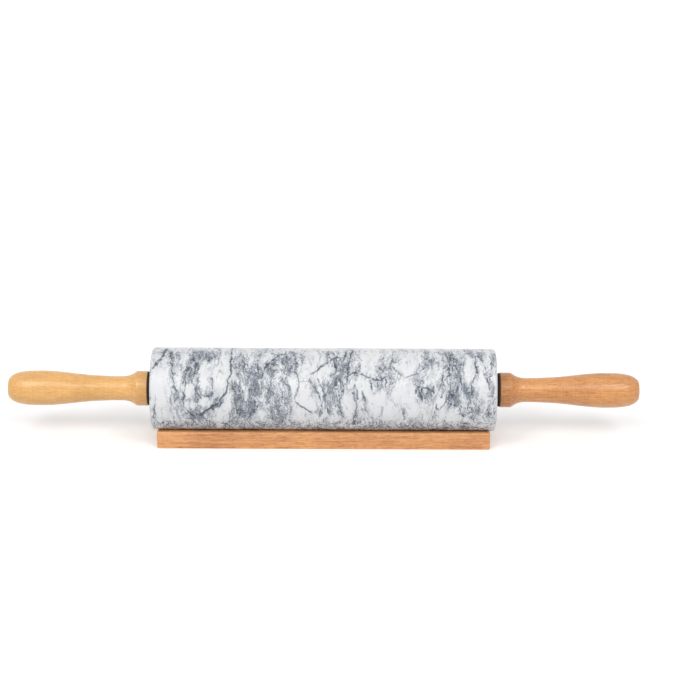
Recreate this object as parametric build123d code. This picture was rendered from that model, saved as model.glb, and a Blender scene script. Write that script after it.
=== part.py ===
from build123d import *
from math import cos, pi
import os

# A marble rolling pin lying in its wooden cradle, in millimetres.
# The origin is the middle of the cradle's underside. +X runs along the pin, -Y faces the baker
# and +Z is up. The pin's left half is its right half turned about the upright axis.

# Marble barrel
barrel_length = 250.0
barrel_radius = 30.0
barrel_rim_radius = 2.5

# Axle rod, which runs through the barrel and screws into both handles
axle_radius = 4.0
axle_reach = 45.0
axle_end_chamfer = 1.0
axle_bore_gap = 2.0
axle_hole_gap = 0.3
axle_hole_spare = 3.0
thread_gap = 0.05

# Plain bearing bushes, glued into the ends of the barrel
bush_wall = 5.0
bush_length = 15.0
bush_running_gap = 0.06
bush_glue_gap = 0.03
bush_edge_chamfer = 0.6
flange_overhang = 3.2
flange_thickness = 2.0
flange_edge_radius = 0.5
seat_depth_spare = 1.0

# Thrust washers, between the bush flanges and the handles
end_float = 0.2
washer_thickness = 1.2
washer_inset = 0.35
washer_bore_gap = 0.15
washer_edge_chamfer = 0.25

# Lock nuts, sunk in the handles' collars
nut_sides = 6
nut_flat_wall = 2.5
nut_thickness = 4.0
nut_corner_chamfer = 0.7
nut_pocket_gap = 0.4

# Brass inserts, glued into the handles behind the nuts
insert_wall = 2.0
insert_length = 14.0
insert_glue_gap = 0.03
glue_groove_depth = 0.4
glue_groove_width = 1.2
glue_groove_count = 3

# Turned handles
handle_length = 101.6
tip_flat_radius = 6.3
belly_radius = 12.75
belly_from_tip = 24.0
neck_radius = 8.85
neck_length = 4.0
cove_length = 10.4
collar_radius = 12.7
collar_length = 8.2
collar_edge_radius = 0.6

# Cradle
cradle_end_inset = 3.75
cradle_width = 41.0
cradle_thickness = 13.0
groove_depth = 4.3
groove_gap = 0.3
cradle_top_edge_radius = 1.6
cradle_lip_radius = 1.5
cradle_corner_radius = 1.6
cradle_foot_edge_radius = 0.8

# How far every cut runs past the face that it opens, and how closely a place has to match
cut_overrun = 1.0
match_tolerance = 0.001

# Handle outline from the tip's flat to the belly: shares of the way along, and of the rise
# from the flat's rim to the belly
tip_curve_shares = ((0.03, 0.22), (0.12, 0.50), (0.25, 0.73), (0.42, 0.876), (0.65, 0.969))

# Handle outline from the belly to the neck: shares of the way along, and of the height of the
# belly above the neck that is left there
taper_curve_shares = ((0.17, 0.91), (0.385, 0.608), (0.6, 0.27), (0.81, 0.085))

# Sizes and places that follow
barrel_end = barrel_length / 2
groove_radius = barrel_radius + groove_gap
axis_height = cradle_thickness - groove_depth + groove_radius
cradle_length = barrel_length - 2 * cradle_end_inset
axle_bore_radius = axle_radius + axle_bore_gap
axle_hole_radius = axle_radius + axle_hole_gap
bush_bore_radius = axle_radius + bush_running_gap
bush_radius = bush_bore_radius + bush_wall
flange_radius = bush_radius + flange_overhang
flange_face = barrel_end + flange_thickness
washer_face = flange_face + end_float
collar_face = washer_face + washer_thickness
washer_radius = collar_radius - washer_inset
nut_flat_radius = axle_radius + nut_flat_wall
nut_corner_radius = nut_flat_radius / cos(pi / nut_sides)
nut_pocket_radius = nut_corner_radius + nut_pocket_gap
insert_start = collar_face + nut_thickness
insert_end = insert_start + insert_length
insert_radius = axle_radius + insert_wall
axle_end = collar_face + axle_reach
axle_hole_end = axle_end + axle_hole_spare


def bar(radius, start, end):
    """A round bar on the pin's axis, from x = start to x = end."""
    upright = Cylinder(radius, end - start, align=(Align.CENTER, Align.CENTER, Align.MIN))
    return Pos(start, 0, axis_height) * Rot(0, 90, 0) * upright


def rims(piece, position):
    """The circular edges of a piece that lie in the plane x = position."""
    circles = piece.edges().filter_by(GeomType.CIRCLE)
    return circles.filter_by_position(Axis.X, position - match_tolerance, position + match_tolerance)


def outer_rims(piece, positions):
    """The largest circular edge of a piece at each of some places along the pin."""
    return [rims(piece, position).sort_by(SortBy.RADIUS)[-1] for position in positions]


def other_end(piece):
    """The same piece for the left end of the pin."""
    return Rot(0, 0, 180) * piece


def make_marble_barrel():
    """The stone: a rounded roller, bored for the axle and bored wider at the ends for the bushes."""
    stone = bar(barrel_radius, -barrel_end, barrel_end)
    stone = fillet(outer_rims(stone, (-barrel_end, barrel_end)), barrel_rim_radius)
    stone -= bar(axle_bore_radius, -barrel_end - cut_overrun, barrel_end + cut_overrun)
    seat_depth = bush_length + seat_depth_spare
    seat = bar(bush_radius + bush_glue_gap, barrel_end - seat_depth, barrel_end + cut_overrun)
    return stone - seat - other_end(seat)


def make_bearing_bush():
    """A sleeve in the end of the stone, with a flange that lies on the stone's end face."""
    sleeve_start = barrel_end - bush_length
    sleeve = bar(bush_radius, sleeve_start, barrel_end)
    sleeve = chamfer(outer_rims(sleeve, (sleeve_start,)), bush_edge_chamfer)
    flange = bar(flange_radius, barrel_end, flange_face)
    flange = fillet(outer_rims(flange, (flange_face,)), flange_edge_radius)
    return sleeve + flange - bar(bush_bore_radius, sleeve_start - cut_overrun, flange_face + cut_overrun)


def make_thrust_washer():
    """A flat ring against the handle's collar, on which the bush flange runs."""
    ring = bar(washer_radius, washer_face, collar_face)
    ring = chamfer(outer_rims(ring, (washer_face, collar_face)), washer_edge_chamfer)
    return ring - bar(axle_radius + washer_bore_gap, washer_face - cut_overrun, collar_face + cut_overrun)


def make_axle_rod():
    """The steel rod, with bevelled ends."""
    rod = bar(axle_radius, -axle_end, axle_end)
    return chamfer(outer_rims(rod, (-axle_end, axle_end)), axle_end_chamfer)


def make_lock_nut():
    """A thin hexagon nut with its corners turned off, tight against the brass insert."""
    hexagon = extrude(RegularPolygon(nut_corner_radius, nut_sides), nut_thickness)
    hexagon = Pos(collar_face, 0, axis_height) * Rot(0, 90, 0) * hexagon
    turned = bar(nut_corner_radius, collar_face, insert_start)
    turned = chamfer(outer_rims(turned, (collar_face, insert_start)), nut_corner_chamfer)
    thread = bar(axle_radius + thread_gap, collar_face - cut_overrun, insert_start + cut_overrun)
    return (hexagon & turned) - thread


def make_threaded_insert():
    """A brass sleeve with grooves round it that hold the glue."""
    sleeve = bar(insert_radius, insert_start, insert_end)
    sleeve -= bar(axle_radius + thread_gap, insert_start - cut_overrun, insert_end + cut_overrun)
    spacing = insert_length / (glue_groove_count + 1)
    for number in range(glue_groove_count):
        middle = insert_start + spacing * (number + 1)
        start, end = middle - glue_groove_width / 2, middle + glue_groove_width / 2
        groove = bar(insert_radius + cut_overrun, start, end)
        sleeve -= groove - bar(insert_radius - glue_groove_depth, start, end)
    return sleeve


def handle_outline():
    """Half of the handle's outline on the XZ plane: x from the tip towards the barrel, z outwards."""
    collar_start = handle_length - collar_length
    cove_start = collar_start - cove_length
    neck_start = cove_start - neck_length
    taper_length = neck_start - belly_from_tip
    rise = belly_radius - tip_flat_radius
    drop = belly_radius - neck_radius
    tip_curve = [(along * belly_from_tip, tip_flat_radius + out * rise) for along, out in tip_curve_shares]
    taper_curve = [
        (belly_from_tip + along * taper_length, neck_radius + out * drop)
        for along, out in taper_curve_shares
    ]
    flat_rim, belly = (0, tip_flat_radius), (belly_from_tip, belly_radius)
    neck, cove = (neck_start, neck_radius), (cove_start, neck_radius)
    shoulder, collar = (collar_start, collar_radius), (handle_length, collar_radius)
    outline = Line((0, 0), flat_rim)
    outline += Spline(flat_rim, *tip_curve, belly, tangents=((0, 1), (1, 0)))
    outline += Spline(belly, *taper_curve, neck, tangents=((1, 0), (1, 0)))
    outline += Line(neck, cove)
    outline += TangentArc(cove, shoulder, tangent=(1, 0))
    outline += Polyline(shoulder, collar, (handle_length, 0), (0, 0))
    return Plane.XZ * outline


def make_handle():
    """A turned handle, drilled for the rod, the insert and the nut from its collar's face."""
    turned = revolve(make_face(handle_outline().edges()), Axis.X)
    wood = Pos(collar_face + handle_length, 0, axis_height) * Rot(0, 0, 180) * turned
    collar_edges = outer_rims(wood, (collar_face, collar_face + collar_length))
    wood = fillet(collar_edges, collar_edge_radius)
    wood -= bar(nut_pocket_radius, collar_face - cut_overrun, insert_start)
    wood -= bar(insert_radius + insert_glue_gap, insert_start, insert_end)
    return wood - bar(axle_hole_radius, insert_end, axle_hole_end)


def on_cradle_rim(edge):
    """Whether an edge runs along the cradle's outer walls, at the height of the groove or above."""
    middle, lowest = edge.center(), edge.bounding_box().min.Z
    at_end = abs(middle.X) > cradle_length / 2 - cradle_corner_radius
    at_side = abs(middle.Y) > cradle_width / 2 - cradle_corner_radius
    return (at_end or at_side) and lowest > cradle_thickness - groove_depth - match_tolerance


def make_cradle():
    """A planed board with one hollow groove for the barrel from end to end, and softened edges."""
    board = Box(cradle_length, cradle_width, cradle_thickness, align=(Align.CENTER, Align.CENTER, Align.MIN))
    board -= bar(groove_radius, -cradle_length, cradle_length)
    top_lines = board.edges().filter_by(Axis.X).group_by(Axis.Z)[-1]
    groove_lips = top_lines.sort_by(lambda line: abs(line.center().Y))[:2]
    board = fillet(groove_lips, cradle_lip_radius)
    board = fillet(board.edges().filter_by(Axis.Z), cradle_corner_radius)
    underside = board.faces().sort_by(Axis.Z)[0]
    board = fillet(underside.edges(), cradle_foot_edge_radius)
    return fillet([edge for edge in board.edges() if on_cradle_rim(edge)], cradle_top_edge_radius)


def write(name, piece):
    """Writes one piece to its own file and prints what it measures."""
    solid = piece.solid()
    export_step(solid, f"parts/{name}.step")
    size = solid.bounding_box().size
    print(f"{name}: {size.X:.2f} x {size.Y:.2f} x {size.Z:.2f} mm, volume {solid.volume:.0f} mm3")


os.makedirs("parts", exist_ok=True)
write("cradle", make_cradle())
write("marble_barrel", make_marble_barrel())
write("axle_rod", make_axle_rod())

end_pieces = {
    "bearing_bush": make_bearing_bush(),
    "thrust_washer": make_thrust_washer(),
    "lock_nut": make_lock_nut(),
    "threaded_insert": make_threaded_insert(),
    "handle": make_handle(),
}
for name, piece in end_pieces.items():
    write(f"{name}_right", piece)
    write(f"{name}_left", other_end(piece))
print(f"overall length {2 * (collar_face + handle_length):.1f} mm, axis height {axis_height:.1f} mm")
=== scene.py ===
# %% [markdown]
# # A marble rolling pin on its wooden cradle
#
# The real object is a polished stone barrel that turns on a steel axle between two turned
# beech handles. It lies in the shallow groove of a flat beech board. This lesson dresses the
# packed model of it: every piece that shows gets its own mesh or its own finish, and nothing
# is moved. The frame gives each piece's place, in metres, with +X along the pin, -Y towards
# the viewer and +Z up.

# %% Load the frame
import math

import bmesh
import bpy
import numpy as np
from mathutils import Matrix, Vector


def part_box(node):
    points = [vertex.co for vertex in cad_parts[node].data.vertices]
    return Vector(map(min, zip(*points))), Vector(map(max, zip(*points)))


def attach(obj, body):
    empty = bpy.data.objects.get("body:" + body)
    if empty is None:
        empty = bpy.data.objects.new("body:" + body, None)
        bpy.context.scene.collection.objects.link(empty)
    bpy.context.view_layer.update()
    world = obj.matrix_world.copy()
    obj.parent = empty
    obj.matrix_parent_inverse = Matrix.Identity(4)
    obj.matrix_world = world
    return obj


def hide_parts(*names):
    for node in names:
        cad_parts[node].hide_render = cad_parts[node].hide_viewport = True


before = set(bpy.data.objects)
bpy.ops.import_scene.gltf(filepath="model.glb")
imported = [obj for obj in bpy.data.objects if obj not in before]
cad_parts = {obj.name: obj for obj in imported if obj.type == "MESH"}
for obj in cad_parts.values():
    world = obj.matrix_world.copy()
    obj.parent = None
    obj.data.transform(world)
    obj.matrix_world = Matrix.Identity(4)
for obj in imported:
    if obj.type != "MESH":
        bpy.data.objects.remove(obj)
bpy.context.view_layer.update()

MM = 0.001

# %% [markdown]
# ## Sizes from the frame
#
# A lathe-turned piece needs only an axis and an outline, so the axis height and the lengths
# are read once from the boxes of the packed pieces. Reading them, rather than typing them
# again, keeps the new meshes where the old ones were.

# %% Read the places of the pieces
barrel_low, barrel_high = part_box("marble_barrel")
handle_low, handle_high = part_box("handle_right")
cradle_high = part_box("cradle")[1]
AXIS_HEIGHT = (barrel_low.z + barrel_high.z) / 2
BARREL_RADIUS = (barrel_high.z - barrel_low.z) / 2
BARREL_END = barrel_high.x
COLLAR_FACE = handle_low.x
HANDLE_TIP = handle_high.x
print("axis height", round(AXIS_HEIGHT, 4), "barrel end", round(BARREL_END, 4), "tip", round(HANDLE_TIP, 4))

# %% [markdown]
# ## The camera
#
# The picture is taken from the front and a little above, with a long lens, so that the two
# handles keep their size to the very ends. The camera stands on a line that leaves the pin
# at that small angle. The picture's middle is not the pin's middle, so the point that the
# camera looks at is given as two offsets from the axle.

# %% Place the camera
VIEW_DISTANCE = 1.45
VIEW_RISE = math.radians(21)
VIEW_ROLL = math.radians(0.26)
LOOK_RIGHT = 19.0 * MM
LOOK_ABOVE = 28.65 * MM
PIXELS_PER_METRE = 1367.5
PICTURE_WIDTH = 700
SENSOR_WIDTH = 36.0


def place_camera():
    """A camera on the front of the pin, level but for a slight roll, and its lens."""
    ahead = Vector((0, math.cos(VIEW_RISE), -math.sin(VIEW_RISE)))
    above = Vector((0, math.sin(VIEW_RISE), math.cos(VIEW_RISE)))
    looked_at = Vector((LOOK_RIGHT, 0, AXIS_HEIGHT)) + LOOK_ABOVE * above
    camera = bpy.data.objects.new("camera", bpy.data.cameras.new("camera"))
    bpy.context.scene.collection.objects.link(camera)
    camera.data.sensor_width = SENSOR_WIDTH
    camera.data.lens = SENSOR_WIDTH * PIXELS_PER_METRE * VIEW_DISTANCE / PICTURE_WIDTH
    turn = Matrix.Rotation(math.pi / 2 - VIEW_RISE, 4, "X") @ Matrix.Rotation(VIEW_ROLL, 4, "Z")
    camera.matrix_world = Matrix.Translation(looked_at - VIEW_DISTANCE * ahead) @ turn
    bpy.context.scene.camera = camera
    return camera


camera = place_camera()
print("lens", round(camera.data.lens, 1), "mm at", VIEW_DISTANCE, "m")

# %% [markdown]
# ## A bench for finishes
#
# A finish is a small machine of nodes. The bench below adds a node, sets or links what goes
# in, and hands back what comes out, so that a finish reads like a recipe. The same machine
# could be clicked together in the shader editor, but a recipe in words is easier to read, to
# change and to build again. The finishes of the pieces work in millimetres on the piece's own
# coordinates, so a vein or a growth ring keeps its real size and runs through the piece as it
# does through a block of stone or wood.

# %% Build a bench for nodes and arithmetic
class NodeBench:
    """Adds nodes to one tree and hands back their output sockets."""

    def __init__(self, tree):
        self.tree = tree

    def feed(self, socket, value):
        """Links what comes out of another node to a socket, or sets a plain value there."""
        if isinstance(value, bpy.types.NodeSocket):
            self.tree.links.new(value, socket)
        else:
            socket.default_value = value

    def node(self, kind, inputs=(), **settings):
        """A node with its settings, and its inputs fed by name or number."""
        made = self.tree.nodes.new(kind)
        for name, value in settings.items():
            setattr(made, name, value)
        for name, value in dict(inputs).items():
            self.feed(made.inputs[name], value)
        return made

    def math(self, operation, *values):
        """One step of arithmetic on single values."""
        return self.node("ShaderNodeMath", enumerate(values), operation=operation).outputs[0]

    def plus(self, total, *shares):
        """A value with others added to it, each given with the share of it that counts."""
        for value, share in shares:
            total = self.math("ADD", total, self.math("MULTIPLY", value, share))
        return total

    def centred(self, value):
        """A value that runs about one half, moved to run about zero."""
        return self.math("SUBTRACT", value, 0.5)

    def vector(self, operation, *values):
        """One step of arithmetic on vectors, component by component."""
        return self.node("ShaderNodeVectorMath", enumerate(values), operation=operation).outputs[0]

    def scaled(self, vector, factor):
        """A vector times one number."""
        inputs = {"Vector": vector, "Scale": factor}
        return self.node("ShaderNodeVectorMath", inputs, operation="SCALE").outputs[0]

    def pushed(self, vector, *pushes):
        """A vector moved by others, each given with how far it reaches."""
        for push, reach in pushes:
            vector = self.vector("ADD", vector, self.scaled(push, reach))
        return vector

    def length(self, vector):
        """How long a vector is."""
        return self.node("ShaderNodeVectorMath", {0: vector}, operation="LENGTH").outputs["Value"]

    def dot(self, one, other):
        """How far one vector reaches along another."""
        inputs = {0: one, 1: other}
        return self.node("ShaderNodeVectorMath", inputs, operation="DOT_PRODUCT").outputs["Value"]

    def parts(self, vector):
        """The three parts of a vector, as X, Y and Z."""
        return self.node("ShaderNodeSeparateXYZ", {0: vector}).outputs

    def joined(self, x, y, z):
        """A vector made of three values."""
        return self.node("ShaderNodeCombineXYZ", {"X": x, "Y": y, "Z": z}).outputs[0]


print("node bench:", [name for name in vars(NodeBench) if not name.startswith("_")])


# %% Add the tools for patterns and colours
class Bench(NodeBench):
    """A bench that also knows clouds, eased steps, colours and node groups."""

    def noise(self, vector, size, detail=2.0, roughness=0.5, distortion=0.0):
        """A cloud node whose lumps are about size millimetres wide."""
        inputs = {"Vector": vector, "Scale": 1 / size, "Detail": detail, "Roughness": roughness}
        inputs["Distortion"] = distortion
        return self.node("ShaderNodeTexNoise", inputs).outputs

    def cloud(self, vector, size, **look):
        """A single cloudy value about one half. The size may be a number or a socket."""
        if isinstance(size, bpy.types.NodeSocket):
            return self.noise(self.vector("DIVIDE", vector, size), 1.0, **look)[0]
        return self.noise(vector, size, **look)[0]

    def bend(self, vector, size, detail=2.0):
        """A push that wanders over about size millimetres, half a unit each way."""
        return self.vector("SUBTRACT", self.noise(vector, size, detail)["Color"], (0.5, 0.5, 0.5))

    def spread(self, value, start, end, low=0.0, high=1.0):
        """A value eased from low to high as it goes from start to end."""
        inputs = {"Value": value, "From Min": start, "From Max": end, "To Min": low, "To Max": high}
        return self.node("ShaderNodeMapRange", inputs, interpolation_type="SMOOTHSTEP").outputs[0]

    def blend(self, share, one, other):
        """One colour turning into another."""
        made = self.node("ShaderNodeMix", data_type="RGBA")
        sockets = {socket.identifier: socket for socket in made.inputs}
        for name, value in {"Factor_Float": share, "A_Color": one, "B_Color": other}.items():
            self.feed(sockets[name], value)
        return next(out for out in made.outputs if out.identifier == "Result_Color")

    def colours(self, value, stops):
        """A colour ramp through (place, colour) stops."""
        ramp = self.node("ShaderNodeValToRGB", {"Fac": value})
        elements = ramp.color_ramp.elements
        for element, (place, colour) in zip(elements, (stops[0], stops[-1])):
            element.position, element.color = place, (*colour, 1)
        for place, colour in stops[1:-1]:
            elements.new(place).color = (*colour, 1)
        return ramp.outputs["Color"]

    def place(self, group, **inputs):
        """What comes out of a node group with its inputs fed. An underscore is a space."""
        named = {name.replace("_", " "): value for name, value in inputs.items()}
        made = self.node("ShaderNodeGroup", node_tree=group)
        for name, value in named.items():
            self.feed(made.inputs[name], value)
        return made.outputs

    def millimetres(self):
        """The piece's own coordinates, in millimetres."""
        return self.scaled(self.node("ShaderNodeTexCoord").outputs["Object"], 1 / MM)


def new_finish(name):
    """An empty material, a bench on its nodes, and the inputs of its shader."""
    material = bpy.data.materials.new(name)
    material.use_nodes = True
    shader = material.node_tree.nodes["Principled BSDF"]
    return material, Bench(material.node_tree), shader.inputs


def new_group(name, inputs, outputs):
    """An empty node group, a bench on it, its inputs and where its results go.

    It takes a Vector and the inputs that are named with their defaults, and gives out values.
    """
    group = bpy.data.node_groups.new(name, "ShaderNodeTree")
    for socket_name, default in {"Vector": (0, 0, 0), **inputs}.items():
        kind = "NodeSocketVector" if isinstance(default, tuple) else "NodeSocketFloat"
        socket = group.interface.new_socket(socket_name, in_out="INPUT", socket_type=kind)
        socket.default_value = default
    for socket_name in outputs:
        group.interface.new_socket(socket_name, in_out="OUTPUT", socket_type="NodeSocketFloat")
    bench = Bench(group)
    given = bench.node("NodeGroupInput").outputs
    result = bench.node("NodeGroupOutput").inputs
    return group, bench, given, result


print("pattern bench:", [name for name in vars(Bench) if not name.startswith("_")])

# %% [markdown]
# ## The floor and the light
#
# The pin stands on a white table between two soft lamps, one to the left of the camera and
# one to the right, both above it. They light the front of the stone evenly and put the soft
# shine on the ends of the handles. A weak lamp in the middle fills in between them. The room
# is brighter above than beside, as under a white ceiling, which keeps the top of the stone
# light and the shadows on the table soft. The white behind the object comes from the table
# and the world themselves, which show the camera a little more white than they throw on the
# object. One strong lamp in the middle would leave a bright band along the stone.

# %% Make the floor
WHITE = (1, 1, 1, 1)
FLOOR_HALF = 8.0
FLOOR_COLOUR = (0.92, 0.92, 0.92, 1)
FLOOR_ROUGHNESS = 0.9
FLOOR_LIFT_NEAR = 0.18
FLOOR_LIFT_FAR = 1.0
FLOOR_NEAR = 0.20
FLOOR_FAR = 0.9


def seen_directly(bench):
    """One where a ray comes from the camera, a glossy surface or glass, and zero elsewhere."""
    path = bench.node("ShaderNodeLightPath").outputs
    seen = bench.math("MAXIMUM", path["Is Camera Ray"], path["Is Glossy Ray"])
    return bench.math("MAXIMUM", seen, path["Is Transmission Ray"])


def make_floor():
    """A wide white table top that keeps the object's shadow."""
    corners = [(-FLOOR_HALF, -FLOOR_HALF, 0), (FLOOR_HALF, -FLOOR_HALF, 0)]
    corners += [(FLOOR_HALF, FLOOR_HALF, 0), (-FLOOR_HALF, FLOOR_HALF, 0)]
    mesh = bpy.data.meshes.new("table_top")
    mesh.from_pydata(corners, [], [(0, 1, 2, 3)])
    floor = bpy.data.objects.new("table_top", mesh)
    bpy.context.scene.collection.objects.link(floor)
    material, bench, shader = new_finish("white_table")
    shader["Base Color"].default_value = FLOOR_COLOUR
    shader["Roughness"].default_value = FLOOR_ROUGHNESS
    shader["Specular IOR Level"].default_value = 0.0
    shader["Emission Color"].default_value = WHITE
    away = bench.length(bench.node("ShaderNodeTexCoord").outputs["Object"])
    lift = bench.spread(away, FLOOR_NEAR, FLOOR_FAR, FLOOR_LIFT_NEAR, FLOOR_LIFT_FAR)
    bench.feed(shader["Emission Strength"], bench.math("MULTIPLY", lift, seen_directly(bench)))
    mesh.materials.append(material)
    print(floor.name, 2 * FLOOR_HALF, "m wide, fully white", FLOOR_FAR, "m from the pin")


make_floor()

# %% Hang the lamps
# Each lamp: degrees to the right of the camera, degrees up, distance, width, height, level
LAMPS = {
    "lamp_front": (0, 42, 1.7, 0.6, 0.4, 0.11),
    "lamp_left": (-35.5, 43, 1.5, 0.45, 0.6, 0.265),
    "lamp_right": (35.5, 43, 1.5, 0.45, 0.6, 0.24),
}


def hang_lamp(name, side, up, distance, width, height, level):
    """A soft lamp that faces the pin. Its level is what a white card would give back."""
    light = bpy.data.lights.new(name, "AREA")
    light.shape = "RECTANGLE"
    light.size = width
    light.size_y = height
    light.energy = level * (math.pi * distance) ** 2
    lamp = bpy.data.objects.new(name, light)
    bpy.context.scene.collection.objects.link(lamp)
    side, up = math.radians(side), math.radians(up)
    away = Vector((math.sin(side) * math.cos(up), -math.cos(side) * math.cos(up), math.sin(up)))
    lamp.location = Vector((0, 0, AXIS_HEIGHT)) + away * distance
    lamp.rotation_euler = away.to_track_quat("Z", "Y").to_euler()
    print(name, round(light.energy, 2), "W at", distance, "m")


for name, settings in LAMPS.items():
    hang_lamp(name, *settings)

# %% Set the world
WORLD_BESIDE = 0.12
WORLD_ABOVE = 0.94


def set_world():
    """A white world: plain white to the camera and to reflections, a softer fill elsewhere."""
    world = bpy.data.worlds.new("studio")
    bpy.context.scene.world = world
    world.use_nodes = True
    bench = Bench(world.node_tree)
    background = world.node_tree.nodes["Background"].inputs
    background["Color"].default_value = WHITE
    height = bench.parts(bench.node("ShaderNodeTexCoord").outputs["Generated"])["Z"]
    inputs = {"Value": height, "To Min": WORLD_BESIDE, "To Max": WORLD_ABOVE}
    fill = bench.node("ShaderNodeMapRange", inputs).outputs[0]
    inputs = {"Value": seen_directly(bench), "To Min": fill, "To Max": 1.0}
    bench.feed(background["Strength"], bench.node("ShaderNodeMapRange", inputs).outputs[0])
    print("world:", WORLD_BESIDE, "at the horizon,", WORLD_ABOVE, "overhead")


set_world()
bpy.context.scene.view_settings.view_transform = "Standard"

# %% [markdown]
# ## A lathe
#
# The barrel and the handles are round, so one tool can turn them all: an outline of places
# along the axle and radii there, swept once round. Modelling them by hand from a cylinder
# would give the same shape with far more steps, and would not follow the frame. The lathe
# also marks how sharply each edge bends, because an edge is where a finish wears first.

# %% Draw arcs and lines
def arc(centre, radius, start, end, count):
    """Points on an arc about a centre, from one angle to another, both ends included."""
    angles = [start + (end - start) * step / count for step in range(count + 1)]
    return [(centre[0] + radius * math.cos(a), centre[1] + radius * math.sin(a)) for a in angles]


def straight(start, end, count):
    """Evenly spaced points on a line, with its end and without its start."""
    shares = [step / count for step in range(1, count + 1)]
    return [(start[0] + (end[0] - start[0]) * s, start[1] + (end[1] - start[1]) * s) for s in shares]


eighths = arc((0, 0), 1.0, 0, math.pi / 2, 2)
print("a quarter circle in two steps:", [(round(x, 2), round(y, 2)) for x, y in eighths])

# %% Mark the wear and finish a form
SHARP_ANGLE = math.radians(35)
# A bend, in radians to a millimetre, starts to wear at the first and wears fully one span on
WEAR_START = 0.1
WEAR_SPAN = 0.4
WEAR_WIDTH = 0.2
SAME_PLACE = 0.001 * MM


def mark_wear(form):
    """Writes at each point how tightly the surface bends outwards there, from zero to one."""
    layer = form.verts.layers.float.new("wear")
    for vertex in form.verts:
        for edge in vertex.link_edges:
            width = sum(face.calc_area() for face in edge.link_faces) / (2 * edge.calc_length())
            bend = edge.calc_face_angle_signed(0.0) / max(width / MM, WEAR_WIDTH)
            vertex[layer] = max(vertex[layer], min(1.0, (bend - WEAR_START) / WEAR_SPAN))


def finish_form(name, form):
    """Turns a bmesh into a smooth-shaded object, with its real corners left crisp."""
    bmesh.ops.remove_doubles(form, verts=form.verts, dist=SAME_PLACE)
    bmesh.ops.recalc_face_normals(form, faces=form.faces)
    mark_wear(form)
    mesh = bpy.data.meshes.new(name)
    form.to_mesh(mesh)
    form.free()
    mesh.shade_smooth()
    mesh.set_sharp_from_angle(angle=SHARP_ANGLE)
    piece = bpy.data.objects.new(name, mesh)
    bpy.context.scene.collection.objects.link(piece)
    print(name, len(mesh.polygons), "faces")
    return piece


print("edges stay crisp from", round(math.degrees(SHARP_ANGLE)), "degrees")

# %% Build the lathe
TURN_STEPS = 192


def turn(name, outline, closed=False):
    """A mesh object made by turning an outline of (x, radius) pairs round the axle."""
    form = bmesh.new()
    rings = []
    for x, radius in outline:
        steps = range(TURN_STEPS) if radius > 0 else range(1)
        angles = [2 * math.pi * step / TURN_STEPS for step in steps]
        places = [(x, radius * math.cos(a), AXIS_HEIGHT + radius * math.sin(a)) for a in angles]
        rings.append([form.verts.new(place) for place in places])
    pairs = list(zip(rings, rings[1:])) + ([(rings[-1], rings[0])] if closed else [])
    for near, far in pairs:
        for step in range(TURN_STEPS):
            after = (step + 1) % TURN_STEPS
            corners = [near[step % len(near)], near[after % len(near)]]
            corners += [far[after % len(far)], far[step % len(far)]]
            form.faces.new(list(dict.fromkeys(corners)))
    return finish_form(name, form)


print("one turn takes", TURN_STEPS, "steps")

# %% [markdown]
# ## The stone barrel
#
# The stone is sawn, cored, turned true and polished, and its rims are eased by hand so that
# they don't chip. The outline runs round the whole section, through the core and the wider
# seats for the bearings, so the mesh is closed like the stone itself.

# %% Turn the barrel
RIM_RADIUS = 2.5 * MM
RIM_STEPS = 8
FACE_STEPS = 6
ROUND_STEPS = 48
CORE_RADIUS = 6.0 * MM
SEAT_RADIUS = 9.09 * MM
SEAT_DEPTH = 16.0 * MM
SEAT_BEVEL = 0.4 * MM


def barrel_end_outline():
    """The right end of the barrel's section, from its round surface to the core."""
    rim_centre = (BARREL_END - RIM_RADIUS, BARREL_RADIUS - RIM_RADIUS)
    outline = arc(rim_centre, RIM_RADIUS, math.pi / 2, 0, RIM_STEPS)
    outline += straight(outline[-1], (BARREL_END, SEAT_RADIUS + SEAT_BEVEL), FACE_STEPS)
    outline.append((BARREL_END - SEAT_BEVEL, SEAT_RADIUS))
    outline.append((BARREL_END - SEAT_DEPTH, SEAT_RADIUS))
    outline.append((BARREL_END - SEAT_DEPTH, CORE_RADIUS))
    return outline


def barrel_outline():
    """The whole section: the right end, back through the core, the left end and the round."""
    right = barrel_end_outline()
    left = [(-x, radius) for x, radius in reversed(right)]
    return right + left + straight(left[-1], right[0], ROUND_STEPS)[:-1]


stone_barrel = turn("stone_barrel", barrel_outline(), closed=True)

# %% [markdown]
# ## The handles
#
# Each handle is turned between centres: a full belly that fills the palm, a slim neck for
# the fingers, a hollow cove and a straight collar. The belly and the taper are free curves
# through a few chosen points, and the cove is a true arc, as the gouge leaves it.

# %% Sizes of a handle
HANDLE_LENGTH = HANDLE_TIP - COLLAR_FACE
TIP_FLAT_RADIUS = 6.3 * MM
BELLY_RADIUS = 12.75 * MM
BELLY_FROM_TIP = 24.0 * MM
NECK_RADIUS = 8.85 * MM
NECK_LENGTH = 4.0 * MM
COVE_LENGTH = 10.4 * MM
COLLAR_RADIUS = 12.7 * MM
COLLAR_LENGTH = 8.2 * MM
COLLAR_EDGE_RADIUS = 0.6 * MM
TIP_CURVE_SHARES = ((0.03, 0.22), (0.12, 0.50), (0.25, 0.73), (0.42, 0.876), (0.65, 0.969))
TAPER_CURVE_SHARES = ((0.17, 0.91), (0.385, 0.608), (0.6, 0.27), (0.81, 0.085))
NUT_POCKET_RADIUS = 7.9 * MM
NUT_POCKET_DEPTH = 4.0 * MM
INSERT_RADIUS = 6.03 * MM
INSERT_DEPTH = 18.0 * MM
ROD_HOLE_RADIUS = 4.3 * MM
ROD_HOLE_DEPTH = 48.0 * MM
print("handle", round(HANDLE_LENGTH / MM, 1), "mm long,", 2 * round(BELLY_RADIUS / MM, 2), "mm thick")

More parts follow.
